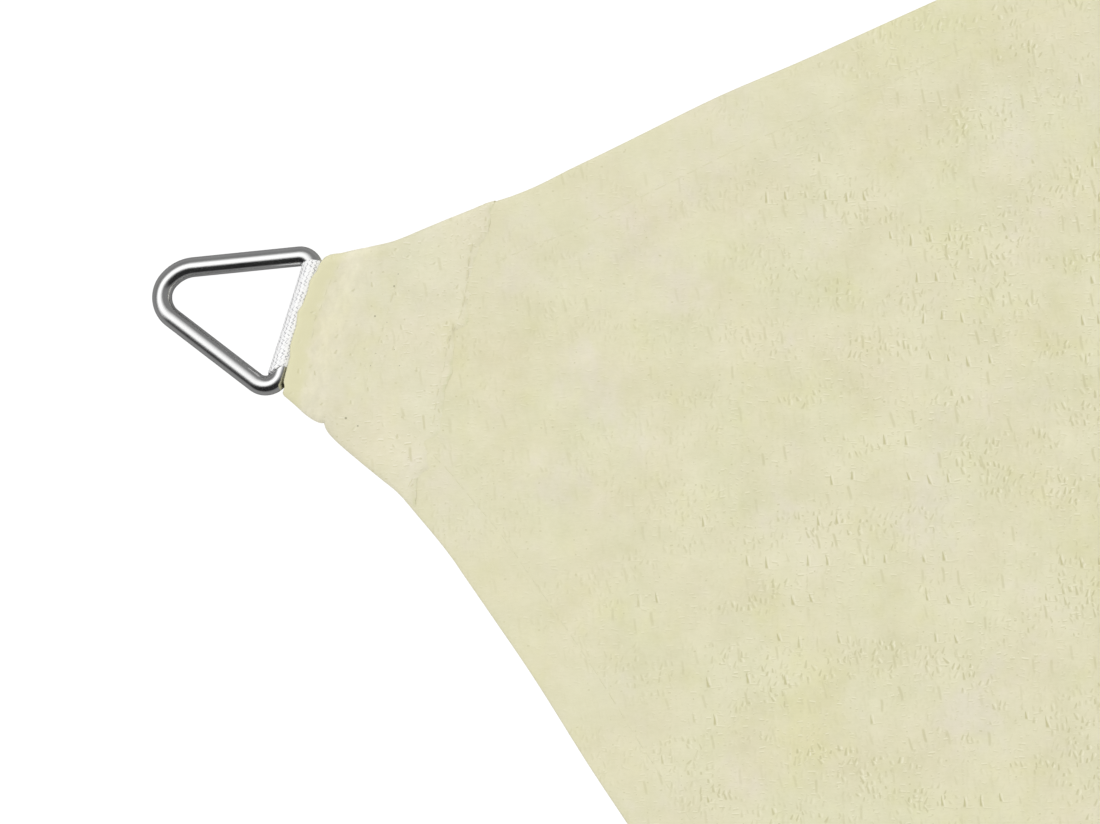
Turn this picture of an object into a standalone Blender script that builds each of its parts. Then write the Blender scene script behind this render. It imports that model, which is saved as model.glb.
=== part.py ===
# Square shade sail, laid out on the ground: one knitted sheet with a hem, and at each corner
# a folded patch, a webbing loop and a bent steel ring that the loop holds.
# Metres, +Z up. The origin is on the ground under the middle of the sail.
#
# Each corner is built in its own frame: the origin on the ground at the middle of the patch's
# mouth, +X along the diagonal towards the sail's middle, +Y across.

import math

import bmesh
import bpy
from mathutils import Matrix, Vector

MM = 0.001

# Driving dimensions
SIDE = 2000 * MM              # between the noses of neighbouring rings
CLOTH = 1.0 * MM              # one layer of the cloth
HEM = 1.6 * MM                # the turned-under hem
HEM_WIDTH = 17 * MM
EDGE_SAG = 36 * MM            # how far the middle of a side curves in
GAP = 0.35 * MM               # kept between pieces that touch

WIRE = 5.0 * MM               # ring wire, thick
WIRE_SIDES = 12
RING_LENGTH = 35.0 * MM       # centre line, base bar to nose
NOSE_HEIGHT = 2.6 * MM        # the nose lies on the ground
RING_TURN = math.radians(-0.8)    # the ring hangs a little askew

STRAP = 0.9 * MM              # webbing, thick
STRAP_WIDTH = 27.2 * MM
STRAP_WAIST = 25.4 * MM       # where it passes through the ring
STRAP_ROUND = 3.4 * MM        # its middle layer's radius round the bar
TAIL_END = 28 * MM            # how far the tails reach into the patch
TAIL_START = 12 * MM          # where the two tails lie flat

BAR_X = -1.6 * MM             # the base bar's place in the corner's frame
BAR_Y = -1.2 * MM
BAR_Z = CLOTH + GAP + STRAP / 2 + STRAP_ROUND
TOP_TAIL_Z = 5.0 * MM

CLOTH_START = 7 * MM          # the sheet ends this far inside the mouth
TIP = 30 * MM                 # the two edges would meet this far outside the mouth
LIFT = 2.6 * MM               # the sheet lies this high inside the patch
LIFT_FULL = 40 * MM           # as far as here
LIFT_END = 70 * MM            # and is on the ground from here

# The wire's centre line: a base bar along Y and a nose towards -X, bent a little unevenly. Its
# sharp corners, and how far each is rounded. Millimetres.
RING_CORNERS = [
    # x, y, radius
    (0.0, 18.95, 3.3),
    (-32.55, 5.1, 9.5),
    (-37.65, -4.9, 6.5),
    (0.0, -18.34, 4.1),
]
BEND_STEP = math.radians(13)      # between the wire's points in a bend

# The sheet's two edges at a corner: distance inward from the mouth, then the half widths on
# the +Y and on the -Y side. Millimetres.
EDGE_ROWS = [
    # inward, left, right
    (7.0, 19.6, 18.8),
    (15.7, 24.4, 23.2),
    (22.5, 29.4, 26.2),
    (30.0, 35.6, 29.4),
    (37.0, 41.2, 32.6),
    (42.0, 45.8, 35.7),
    (47.0, 51.4, 41.0),
    (56.3, 60.4, 48.7),
    (64.7, 68.2, 55.4),
    (81.4, 83.8, 68.6),
    (100.9, 100.2, 85.9),
    (119.5, 116.4, 101.5),
    (300.0, 274.2, 264.0),
]

# The patch's sections from its mouth to its inner edge. Millimetres.
PATCH_ROWS = [
    # inward, left, right, height
    (0.0, 17.8, 18.2, 10.5),
    (4.0, 20.1, 19.9, 9.6),
    (10.7, 24.1, 22.8, 8.0),
    (15.7, 27.0, 25.7, 7.0),
    (22.5, 32.4, 28.8, 6.9),
    (30.1, 38.6, 31.9, 6.8),
    (38.3, 44.2, 36.9, 6.2),
]
PATCH_ROUND = 3.5 * MM        # how sharply its side folds turn
MOUTH_BULGE = 1.8 * MM        # the mouth's upper lip stands out in the middle
MOUTH_LIP = 0.6 * MM          # and this much at the sides
SEAM_SLANT = 0.04             # the inner edge runs a little askew

# Distances of the grid's lines from a side, as far as the sail's middle. Millimetres.
GRID_LINES = [
    0, HEM_WIDTH / MM, 20, 34, 46, 58, 68, 77, 88, 110, 145, 200, 270, 350, 440, 540, 650, 765, 880,
]

# Soft ridges where the sheet stands off the ground. Millimetres, and degrees from the diagonal.
RIDGE_ROWS = [
    # corner, angle, start, end, width at start, width at end, height
    (1, 17, 190, 760, 40, 95, 4.0),
    (1, -21, 230, 640, 45, 80, 3.0),
    (2, 5, 170, 900, 42, 110, 5.0),
    (2, -26, 210, 560, 40, 75, 3.5),
    (3, 24, 180, 700, 42, 90, 4.5),
    (3, -10, 240, 820, 48, 100, 3.5),
    (4, -18, 170, 660, 40, 85, 4.0),
    (4, 12, 260, 860, 50, 105, 4.5),
]

CORNERS = (1, 2, 3, 4)
MOUTH_RADIUS = SIDE / math.sqrt(2) + BAR_X - RING_LENGTH - WIRE / 2
CORNER_SQUARE = MOUTH_RADIUS / math.sqrt(2)


def clear_scene():
    for item in list(bpy.data.objects):
        bpy.data.objects.remove(item, do_unlink=True)


def make_material(name, color, roughness, metallic=0.0):
    material = bpy.data.materials.new(name)
    material.use_nodes = True
    shader = material.node_tree.nodes["Principled BSDF"]
    shader.inputs["Base Color"].default_value = (*color, 1.0)
    shader.inputs["Roughness"].default_value = roughness
    shader.inputs["Metallic"].default_value = metallic
    material.diffuse_color = (*color, 1.0)
    return material


def add_object(name, data, collection, material, parent=None):
    item = bpy.data.objects.new(name, data)
    if data.materials:
        data.materials[0] = material
    else:
        data.materials.append(material)
    collection.objects.link(item)
    item.parent = parent
    return item


def add_empty(name, collection, parent=None):
    empty = bpy.data.objects.new(name, None)
    empty.empty_display_size = 20 * MM
    collection.objects.link(empty)
    empty.parent = parent
    return empty


def corner_angle(corner):
    """Plan direction from a corner towards the sail's middle."""
    return math.radians(-45 + 90 * (corner - 1))


def corner_matrix(corner):
    angle = corner_angle(corner)
    mouth = Vector((-math.cos(angle), -math.sin(angle), 0)) * MOUTH_RADIUS
    return Matrix.Translation(mouth) @ Matrix.Rotation(angle, 4, "Z")


def smooth_curve(rows):
    """A smooth function through (x, y) rows that never overshoots them."""
    xs = [row[0] for row in rows]
    ys = [row[1] for row in rows]
    steps = [b - a for a, b in zip(xs, xs[1:])]
    slopes = [(b - a) / step for a, b, step in zip(ys, ys[1:], steps)]
    tangents = [slopes[0]]
    for before, after in zip(slopes, slopes[1:]):
        same_way = before * after > 0
        tangents.append(2 * before * after / (before + after) if same_way else 0.0)
    tangents.append(slopes[-1])

    def value(x):
        place = max(i for i in range(len(steps)) if i == 0 or xs[i] <= x)
        step = steps[place]
        t = (x - xs[place]) / step
        return (
            ys[place] * (1 + 2 * t) * (1 - t) ** 2
            + ys[place + 1] * t * t * (3 - 2 * t)
            + tangents[place] * step * t * (1 - t) ** 2
            - tangents[place + 1] * step * t * t * (1 - t)
        )

    return value


def side_rows():
    """One side of the sheet: distance along it from a corner, and how far in its edge lies."""
    length = 2 * CORNER_SQUARE
    tip = TIP / math.sqrt(2)
    start = [((inward + left) * MM / math.sqrt(2), (inward - left) * MM / math.sqrt(2))
             for inward, left, right in EDGE_ROWS]
    end = [(length - (inward + right) * MM / math.sqrt(2), (inward - right) * MM / math.sqrt(2))
           for inward, left, right in reversed(EDGE_ROWS)]
    return [(-tip, -tip), *start, (length / 2, EDGE_SAG), *end, (length + tip, -tip)]


def coons_point(side, across, up):
    """A point of the sheet between its four sides. All four are turns of the same curve."""
    top = side(across)
    bottom = Matrix.Rotation(math.pi, 2) @ side(1 - across)
    left = Matrix.Rotation(math.pi / 2, 2) @ side(up)
    right = Matrix.Rotation(-math.pi / 2, 2) @ side(1 - up)
    tip = side(0)
    turned = [Matrix.Rotation(turn * math.pi / 2, 2) @ tip for turn in range(4)]
    corners = (
        turned[0] * (1 - across) * up + turned[1] * (1 - across) * (1 - up)
        + turned[2] * across * (1 - up) + turned[3] * across * up
    )
    return bottom * (1 - up) + top * up + left * (1 - across) + right * across - corners


def soft_bump(distance, width):
    """1 in the middle, falling smoothly to 0 at the width."""
    if abs(distance) >= width:
        return 0.0
    return 0.5 + 0.5 * math.cos(math.pi * distance / width)


def ridge_height(point):
    height = 0.0
    for corner, angle, start, end, first_width, last_width, top in RIDGE_ROWS:
        place = corner_matrix(corner).inverted() @ point
        turned = Matrix.Rotation(-math.radians(angle), 4, "Z") @ place
        along = (turned.x / MM - start) / (end - start)
        if 0 < along < 1:
            width = first_width + (last_width - first_width) * along
            rise = math.sin(math.pi * along) ** 0.7
            height += top * MM * rise * soft_bump(turned.y / MM, width)
    return height


def corner_lift(point):
    """The sheet rises onto the webbing's lower tail inside each patch."""
    lift = 0.0
    for corner in CORNERS:
        inward = (corner_matrix(corner).inverted() @ point).x
        part = (LIFT_END - inward) / (LIFT_END - LIFT_FULL)
        lift = max(lift, LIFT * min(max(part, 0.0), 1.0))
    return lift


def build_cloth(collection, material):
    """The whole sheet: a grid between its four curved sides, its tips cut off in the patches."""
    edge_in = smooth_curve(side_rows())
    tip = TIP / math.sqrt(2)
    length = 2 * (CORNER_SQUARE + tip)

    def side(t):
        along = t * length - tip
        return Vector((along - CORNER_SQUARE, CORNER_SQUARE - edge_in(along)))

    half = [line * MM / length for line in GRID_LINES]
    lines = [*half, 0.5, *[1 - line for line in reversed(half)]]
    count = len(lines)
    hem_lines = (0, 1, count - 2, count - 1)

    mesh = bmesh.new()
    hem = mesh.verts.layers.float.new("hem")
    grid = []
    for row, up in enumerate(lines):
        for column, across in enumerate(lines):
            vert = mesh.verts.new((*coons_point(side, across, up), 0.0))
            vert[hem] = 1.0 if row in hem_lines or column in hem_lines else 0.0
            grid.append(vert)
    for row in range(count - 1):
        for column in range(count - 1):
            first = row * count + column
            mesh.faces.new((grid[first], grid[first + 1], grid[first + count + 1], grid[first + count]))
    for corner in CORNERS:
        frame = corner_matrix(corner)
        bmesh.ops.bisect_plane(
            mesh, geom=[*mesh.verts, *mesh.edges, *mesh.faces], dist=1e-6, clear_inner=True,
            plane_co=frame @ Vector((CLOTH_START, 0, 0)), plane_no=frame.to_3x3() @ Vector((1, 0, 0)),
        )
    for vert in mesh.verts:
        vert.co.z = corner_lift(vert.co) + ridge_height(vert.co)
    mesh.verts.index_update()
    hem_weights = [vert[hem] for vert in mesh.verts]

    data = bpy.data.meshes.new("sail_cloth")
    mesh.to_mesh(data)
    mesh.free()
    sheet = add_object("sail_cloth", data, collection, material)
    group = sheet.vertex_groups.new(name="hem")
    for index, weight in enumerate(hem_weights):
        group.add([index], weight, "REPLACE")
    solid = sheet.modifiers.new("cloth", "SOLIDIFY")
    solid.thickness = HEM
    solid.offset = 1.0
    solid.vertex_group = group.name
    solid.thickness_vertex_group = CLOTH / HEM
    return sheet


def patch_section(left, right, height):
    """The patch cut across: a flat sleeve with rounded folds, from the middle of its underside."""
    bend = min(PATCH_ROUND, height * 0.45)
    turns = (
        # centre across, centre up, first angle
        (left - bend, bend, -90),
        (left - bend, height - bend, 0),
        (bend - right, height - bend, 90),
        (bend - right, bend, 180),
    )
    points = [((left - right) / 2, 0.0)]
    for number, (across, up, first) in enumerate(turns):
        for step in range(3):
            angle = math.radians(first + 45 * step)
            points.append((across + bend * math.cos(angle), up + bend * math.sin(angle)))
        if number == 1:
            span = (left - bend) - (bend - right)
            points += [(left - bend - span * part / 6, height) for part in range(1, 6)]
    return points


def build_patch(corner, collection, material, parent):
    """A sleeve round the sail's corner, open at its mouth and at its inner edge."""
    mesh = bmesh.new()
    rings = []
    for number, row in enumerate(PATCH_ROWS):
        inward, left, right, height = [value * MM for value in row]
        ring = []
        for across, up in patch_section(left, right, height):
            shift = 0.0
            if number == 0 and up > height - MM:
                shift = -MOUTH_LIP - MOUTH_BULGE * soft_bump(across, left)
            if number == len(PATCH_ROWS) - 1:
                shift = -SEAM_SLANT * across
            ring.append(mesh.verts.new((inward + shift, across, up)))
        rings.append(ring)
    count = len(rings[0])
    for near, far in zip(rings, rings[1:]):
        for place in range(count):
            after = (place + 1) % count
            mesh.faces.new((near[place], near[after], far[after], far[place]))
    bmesh.ops.recalc_face_normals(mesh, faces=mesh.faces)
    data = bpy.data.meshes.new("corner_patch")
    mesh.to_mesh(data)
    mesh.free()
    data.shade_smooth()
    patch = add_object(f"corner_patch_{corner}", data, collection, material, parent)
    solid = patch.modifiers.new("cloth", "SOLIDIFY")
    solid.thickness = CLOTH
    solid.offset = -1.0
    solid.use_even_offset = True
    return patch


def strap_path():
    """The webbing's middle layer from the side, round the bar at the origin: x, z, and how far
    round the bar it is, from 0 in the tails to 1 at the front."""
    tail_z = TOP_TAIL_Z - BAR_Z
    bend = Vector((TAIL_START - BAR_X, tail_z))
    first = math.atan2(bend.y, bend.x) + math.acos(STRAP_ROUND / bend.length)
    last = math.radians(270)
    end = TAIL_END - BAR_X
    steps = 14
    path = [(end, tail_z, 0.0), (bend.x, bend.y, 0.0)]
    for step in range(steps + 1):
        angle = first + (last - first) * step / steps
        front = math.sqrt(max(0.0, -math.cos(angle)))
        path.append((STRAP_ROUND * math.cos(angle), STRAP_ROUND * math.sin(angle), front))
    path.append((end, -STRAP_ROUND, 0.0))
    return path


def build_webbing(corner, collection, material, parent):
    """A strap folded round the ring's base bar, its two tails apart for the sheet between them."""
    mesh = bmesh.new()
    rails = []
    for along, up, front in strap_path():
        width = STRAP_WIDTH + (STRAP_WAIST - STRAP_WIDTH) * front
        middle = -BAR_Y * (1 - front)
        rails.append([mesh.verts.new((along, middle + side * width / 2, up)) for side in (-1, 0, 1)])
    for near, far in zip(rails, rails[1:]):
        for place in range(2):
            mesh.faces.new((near[place], near[place + 1], far[place + 1], far[place]))
    data = bpy.data.meshes.new("webbing")
    mesh.to_mesh(data)
    mesh.free()
    data.shade_smooth()
    strap = add_object(f"webbing_{corner}", data, collection, material, parent)
    solid = strap.modifiers.new("strap", "SOLIDIFY")
    solid.thickness = STRAP
    solid.offset = 0.0
    solid.use_even_offset = True
    return strap


def ring_points():
    """The wire's centre line: the ring's sharp corners, each rounded into an arc."""
    points = []
    count = len(RING_CORNERS)
    for number, (x, y, radius) in enumerate(RING_CORNERS):
        sharp = Vector((x, y))
        before = (Vector(RING_CORNERS[number - 1][:2]) - sharp).normalized()
        after = (Vector(RING_CORNERS[(number + 1) % count][:2]) - sharp).normalized()
        half = before.angle(after) / 2
        centre = sharp + (before + after).normalized() * radius / math.sin(half)
        start = sharp + before * radius / math.tan(half) - centre
        turn = math.pi - 2 * half
        steps = round(turn / BEND_STEP)
        for step in range(steps + 1):
            points.append((centre + Matrix.Rotation(turn * step / steps, 2) @ start) * MM)
    return points


def build_ring(corner, collection, material, parent):
    points = ring_points()
    curve = bpy.data.curves.new("ring", "CURVE")
    curve.dimensions = "3D"
    curve.bevel_depth = WIRE / 2 / math.cos(math.pi / WIRE_SIDES)
    curve.bevel_resolution = WIRE_SIDES // 2 - 2
    spline = curve.splines.new("POLY")
    spline.points.add(len(points) - 1)
    for point, place in zip(spline.points, points):
        point.co = (*place, 0, 1)
        point.tilt = math.pi / WIRE_SIDES
    spline.use_cyclic_u = True
    ring = add_object(f"ring_{corner}", curve, collection, material, parent)
    ring.rotation_euler.y = -math.asin((BAR_Z - NOSE_HEIGHT) / RING_LENGTH)
    return ring


def build_sail():
    clear_scene()
    collection = bpy.data.collections.new("shade_sail")
    bpy.context.scene.collection.children.link(collection)
    cream = (0.745, 0.716, 0.509)
    cloth = make_material("cream_knit", cream, 0.75)
    patch_cloth = make_material("cream_patch", cream, 0.75)
    webbing = make_material("white_webbing", (0.83, 0.83, 0.84), 0.6)
    steel = make_material("polished_steel", (0.62, 0.62, 0.61), 0.14, 1.0)

    build_cloth(collection, cloth)
    for corner in CORNERS:
        frame = add_empty(f"corner_frame_{corner}", collection)
        frame.matrix_world = corner_matrix(corner)
        bar = add_empty(f"bar_frame_{corner}", collection, frame)
        bar.location = (BAR_X, BAR_Y, BAR_Z)
        bar.rotation_euler.z = RING_TURN
        build_patch(corner, collection, patch_cloth, frame)
        build_webbing(corner, collection, webbing, bar)
        build_ring(corner, collection, steel, bar)
    bpy.context.view_layer.update()


build_sail()
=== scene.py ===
import math
from functools import partialmethod

import bmesh
import bpy
import numpy as np
from mathutils import Matrix, Vector, noise


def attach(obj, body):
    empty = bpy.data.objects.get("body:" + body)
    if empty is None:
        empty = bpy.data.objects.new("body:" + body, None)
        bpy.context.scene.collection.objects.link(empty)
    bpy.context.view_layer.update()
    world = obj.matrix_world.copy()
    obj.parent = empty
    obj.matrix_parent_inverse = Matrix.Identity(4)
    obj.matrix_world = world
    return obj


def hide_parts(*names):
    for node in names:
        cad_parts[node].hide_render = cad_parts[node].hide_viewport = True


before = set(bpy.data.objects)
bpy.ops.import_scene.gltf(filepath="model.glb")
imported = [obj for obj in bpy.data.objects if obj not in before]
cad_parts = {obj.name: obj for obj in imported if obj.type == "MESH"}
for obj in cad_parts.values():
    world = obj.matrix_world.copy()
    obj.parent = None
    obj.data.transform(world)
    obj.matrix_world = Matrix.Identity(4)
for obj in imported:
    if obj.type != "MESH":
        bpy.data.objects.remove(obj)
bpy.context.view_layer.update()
print("frame loaded:", len(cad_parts), "solids")

mm = 0.001
corners = (1, 2, 3, 4)

# the whole sail, in its own frame: origin on the ground under its middle
sail = {
    "side": 2000 * mm,            # between the noses of neighbouring rings
    "edgeSag": 36 * mm,           # the middle of each side curves in this far
    "tip": 30 * mm,               # a corner's two edges would meet this far outside its mouth
    "grain": math.radians(28.2),  # between the knit's rows and the sail's sides
    "cloth": 0.7 * mm,            # one layer of the knit
}

# the ring's base bar, measured from the middle of a patch's mouth
bar = {"inward": -1.6 * mm, "across": -1.2 * mm, "up": 5.2 * mm, "turn": math.radians(-0.8)}

ringSizes = {
    "wire": 5.0 * mm,
    "length": 35.0 * mm,     # centre line, from the bar to the nose
    "noseHeight": 2.6 * mm,  # the nose lies on the ground
    "sides": 40,
    "step": 0.9 * mm,
}

# the sharp corners of its centre line, and how far each is rounded: it was bent a little unevenly
ringCorners = (
    # x, y, radius, in mm from the middle of the bar
    (0.0, 18.95, 3.3), (-32.55, 5.1, 9.5), (-37.65, -4.9, 6.5), (0.0, -18.34, 4.1),
)

mouthRadius = sail["side"] / math.sqrt(2) + bar["inward"] - ringSizes["length"] - ringSizes["wire"] / 2
cornerSquare = mouthRadius / math.sqrt(2)
span = 2 * (cornerSquare + sail["tip"] / math.sqrt(2))


def cornerAngle(corner):
    return math.radians(-45 + 90 * (corner - 1))


def cornerMatrix(corner):
    angle = cornerAngle(corner)
    mouth = Vector((-math.cos(angle), -math.sin(angle), 0)) * mouthRadius
    return Matrix.Translation(mouth) @ Matrix.Rotation(angle, 4, "Z")


def barMatrix(corner):
    place = Vector((bar["inward"], bar["across"], bar["up"]))
    return cornerMatrix(corner) @ Matrix.Translation(place) @ Matrix.Rotation(bar["turn"], 4, "Z")


def turned(x, y, angle):  # distances along a direction, and to its left
    cos, sin = math.cos(angle), math.sin(angle)
    return x * cos + y * sin, y * cos - x * sin


def intoCorner(corner, x, y):  # plan points as distances inward from a mouth, and across
    inward, across = turned(x, y, cornerAngle(corner))
    return inward + mouthRadius, across


def smoothCurve(rows):  # through (x, y) rows, never overshooting them
    xs, ys = np.array(rows, float).T[:2]
    steps = np.diff(xs)
    slopes = np.diff(ys) / steps
    both = slopes[:-1] * slopes[1:]
    total = np.where(both > 0, slopes[:-1] + slopes[1:], 1)
    inner = np.where(both > 0, 2 * both / total, 0)
    tangents = np.concatenate([slopes[:1], inner, slopes[-1:]])

    def value(x):
        x = np.clip(np.asarray(x, float), xs[0], xs[-1])
        place = np.clip(np.searchsorted(xs, x, side="right") - 1, 0, len(steps) - 1)
        step = steps[place]
        t = (x - xs[place]) / step
        return (ys[place] * (1 + 2 * t) * (1 - t) ** 2 + ys[place + 1] * t * t * (3 - 2 * t)
                + tangents[place] * step * t * (1 - t) ** 2
                - tangents[place + 1] * step * t * t * (1 - t))

    return value


def softBump(distance, width):  # 1 in the middle, falling smoothly to 0 at the width
    return np.where(np.abs(distance) < width, 0.5 + 0.5 * np.cos(np.pi * distance / width), 0.0)


def softStep(value, low, high):
    t = np.clip((value - low) / (high - low), 0, 1)
    return t * t * (3 - 2 * t)


def addObject(name, data):
    thing = bpy.data.objects.new(name, data)
    bpy.context.scene.collection.objects.link(thing)
    return thing


def makePiece(name, points, faces, material, attributes=(), uv=None):
    mesh = bpy.data.meshes.new(name)
    mesh.from_pydata([tuple(point) for point in points], [], faces)
    for title, values in attributes:
        layer = mesh.attributes.new(title, "FLOAT", "POINT")
        layer.data.foreach_set("value", np.asarray(values, np.float32))
    if uv is not None:
        layer = mesh.uv_layers.new(name="weave")
        loops = np.zeros(len(mesh.loops), np.int32)
        mesh.loops.foreach_get("vertex_index", loops)
        layer.data.foreach_set("uv", np.asarray(uv, np.float32)[loops].ravel())
    mesh.materials.append(material)
    mesh.shade_smooth()
    return addObject(name, mesh)


def drawCurve(name, paths, closed=False):
    curve = bpy.data.curves.new(name, "CURVE")
    curve.dimensions = "3D"
    for path in paths:
        spline = curve.splines.new("POLY")
        spline.points.add(len(path) - 1)
        spline.use_cyclic_u = closed
        for point, place in zip(spline.points, path):
            point.co = (*place, 1)
    return addObject(name, curve)


def enter(piece, solid):  # what it replaces, and its body
    if solid:
        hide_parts(solid)
    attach(piece, "root")


def settle(piece):  # its modifiers become plain mesh
    graph = bpy.context.evaluated_depsgraph_get()
    mesh = bpy.data.meshes.new_from_object(piece.evaluated_get(graph), depsgraph=graph)
    mesh.transform(piece.matrix_world)
    name = piece.name
    made = addObject(name + "Made", mesh)
    bpy.data.objects.remove(piece, do_unlink=True)
    made.name = name
    mesh.name = name
    return made


def thicken(piece, thickness, group="", least=0.0):
    layer = piece.modifiers.new("thickness", "SOLIDIFY")
    layer.thickness = thickness
    layer.vertex_group = group
    layer.thickness_vertex_group = least
    layer.offset = 0.0
    layer.use_even_offset = False
    return settle(piece)


def gridFaces(rows, columns, closed=False):
    faces = []
    for row in range(rows - 1):
        for column in range(columns if closed else columns - 1):
            after = (column + 1) % columns
            faces.append((row * columns + column, row * columns + after,
                          (row + 1) * columns + after, (row + 1) * columns + column))
    return faces


# Shader helpers. A Signal is a node's output that takes plain arithmetic.
def plug(value, socket):  # a link from a signal, a node or a socket, or else a plain value
    value = getattr(value, "socket", value)
    if isinstance(value, bpy.types.Node):
        value = value.outputs[0]
    if isinstance(value, bpy.types.NodeSocket):
        socket.id_data.links.new(value, socket)
    elif socket.type == "RGBA":
        socket.default_value = (*value, 1.0)
    else:
        socket.default_value = value


def feed(node, inputs):
    for title, value in inputs.items():
        plug(value, node.inputs[title])
    return node


def addNode(tree, kind, inputs=None, **settings):
    node = tree.nodes.new(kind)
    for name, value in settings.items():
        setattr(node, name, value)
    return feed(node, inputs or {})


class Signal:
    def __init__(self, source, output=0):
        self.socket = source.outputs[output] if isinstance(source, bpy.types.Node) else source

    def node(self, kind, inputs, output=0, **settings):
        return Signal(addNode(self.socket.id_data, kind, inputs, **settings), output)

    def math(self, how, *others):
        return self.node("ShaderNodeMath", dict(enumerate((self, *others))), operation=how)

    __add__ = partialmethod(math, "ADD")
    __sub__ = partialmethod(math, "SUBTRACT")
    __mul__ = partialmethod(math, "MULTIPLY")
    __truediv__ = partialmethod(math, "DIVIDE")
    __abs__ = partialmethod(math, "ABSOLUTE")

    def __rsub__(self, other):
        return self * -1.0 + other

    def fade(self, low, high, start=0.0, end=1.0):  # a soft step, from start at low to end at high
        inputs = dict(enumerate((self, low, high, start, end)))
        return self.node("ShaderNodeMapRange", inputs, interpolation_type="SMOOTHSTEP")

    def between(self, first, second):  # a mix of two colours, by this amount
        return self.node("ShaderNodeMix", {0: self, 6: first, 7: second}, 2, data_type="RGBA")

    def tinted(self, color):
        inputs = {0: 1.0, 6: self, 7: color}
        return self.node("ShaderNodeMix", inputs, 2, data_type="RGBA", blend_type="MULTIPLY")


def largest(first, *others):
    for other in others:
        first = first.math("MAXIMUM", other)
    return first


def joinXyz(x, y, z=0.0):
    return x.node("ShaderNodeCombineXYZ", {0: x, 1: y, 2: z})


def splitXyz(vector):
    node = vector.node("ShaderNodeSeparateXYZ", {0: vector}).socket.node
    return [Signal(node, axis) for axis in range(3)]


def noiseAt(vector, scale, detail=2.0, roughness=0.5, output=0):
    inputs = {"Vector": vector, "Scale": scale, "Detail": detail, "Roughness": roughness}
    return vector.node("ShaderNodeTexNoise", inputs, output)


def diceAt(vector):  # three random numbers for each whole-numbered cell
    dice = vector.node("ShaderNodeTexWhiteNoise", {"Vector": vector}, "Color", noise_dimensions="3D")
    return splitXyz(dice)


def makeTree(name, kind, inputs, outputs):
    tree = bpy.data.node_groups.new(name, kind)
    for way, sockets in (("INPUT", inputs), ("OUTPUT", outputs)):
        for title, form in sockets.items():
            tree.interface.new_socket(title, in_out=way, socket_type="NodeSocket" + form)
    given = {socket.name: Signal(socket) for socket in addNode(tree, "NodeGroupInput").outputs}
    return tree, given, addNode(tree, "NodeGroupOutput")


def useGroup(tree, group, **values):
    node = addNode(tree, "ShaderNodeGroup", values, node_tree=group)
    return {socket.name: Signal(socket) for socket in node.outputs}


def newMaterial(name, roughness, specular=0.4, metallic=0.0):
    material = bpy.data.materials.new(name)
    material.use_nodes = True
    values = {"Roughness": roughness, "Specular IOR Level": specular, "Metallic": metallic}
    shader = feed(material.node_tree.nodes["Principled BSDF"], values)
    return material, material.node_tree, shader


def objectPlace(tree):
    return Signal(addNode(tree, "ShaderNodeTexCoord"), "Object")


def weavePlace(tree):  # millimetres over the piece's own surface
    return Signal(addNode(tree, "ShaderNodeUVMap", uv_map="weave"))


def readAttribute(tree, name):
    return Signal(addNode(tree, "ShaderNodeAttribute", attribute_name=name), "Fac")


def bump(height, distance):
    return height.node("ShaderNodeBump", {"Height": height, "Distance": distance})


def stained(color, distance, look):  # towards the look's own colour, by a distance in mm
    return distance.fade(look["from"], look["to"], 0.0, look["amount"]).between(color, look["color"])


# The knit, in millimetres along its own grain. Flat tapes lean a little. Where it is pulled open,
# wedge-shaped slits stand in columns, each with a level foot. Between them are blurred smears, level
# dashes and flecks, pinpricks, and upright ticks in clumps. Most marks have a light stroke beside them.
knit = {
    "column": 4.92,  # between columns of slits
    "course": 10.1,  # between strong rows of them
    "lean": 0.1625,  # sideways drift of a column, for each mm down it
    "warp": 2.2,     # how far the yarns wander
    "slit": {"wide": 0.30, "least": 0.10, "flare": 0.19, "long": 1.2, "longer": 0.7, "aside": -1.3,
             "loose": (0.7, 1.6), "dark": 0.8},
    "edge": {"aside": 0.62, "wide": 0.28, "light": 0.75},
    "foot": {"wide": 0.13, "long": 1.5, "dark": 0.3, "light": 0.7},
    "smear": {"wide": 0.5, "long": 2.2, "loose": (1.8, 4.0), "dark": 0.3},
    # column, course, half width, half length, share of the spots, tilt, how dark, how light beside
    "dash": (3.3, 1.7, 0.17, 0.75, 0.6, 0.35, 0.30, 0.7),
    "fleck": (1.5, 1.2, 0.17, 0.35, 0.5, 0.8, 0.28, 0.4),
    "tick": (1.5, 2.0, 0.38, 0.9, 0.95, 1.1, 0.45, 0.62),
    "prick": (3.0, 3.0, 0.26, 0.26, 0.4, 0.0, 0.55, 0.0),
    # where each kind shows: from, to, and how much at each
    "opened": (0.51, 0.61),
    "rough": (0.30, 0.66, 0.35, 1.25),
    "clumps": (0.47, 0.61, 0.2, 1.2),
    "chosen": (0.75, 1.15),
    "openLight": 0.18,  # how much lighter the knit is where it is pulled open
    "tapeHeight": 0.22,
    "courseHeight": 0.26,
    "slitDepth": 0.3,
    "gloss": (0.35, 0.7, 0.5, 0.68),  # roughness low and high on the tapes
    "olive": (0.530, 0.496, 0.262),   # in the marks
    "tape": (0.845, 0.812, 0.620),    # and beside them
}

# Soft stains: how much clouds of several sizes change the cloth's hue and shade.
stains = {
    "hueSmall": 0.24,
    "hueMiddle": 0.42,
    "hueLarge": 0.34,
    "hueClump": 0.03,
    "cream": (0.748, 0.716, 0.500),
    "straw": (0.728, 0.702, 0.436),
    "shell": (0.764, 0.720, 0.560),
    "middle": 0.498,  # the hue that is plain cream
    "strawAt": 0.688,
    "shellAt": 0.338,
    "shade": 0.28,
    "threads": 0.07,
    "warmth": 0.04,
    "blueMore": 1.5,  # blue changes this much more than red and green
}


def strokeMask(x, y, wide, long):  # 1 inside an upright stroke, soft at its rim
    return abs(x).fade(wide, wide * 0.25) * abs(y).fade(long, long * 0.6)


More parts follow.
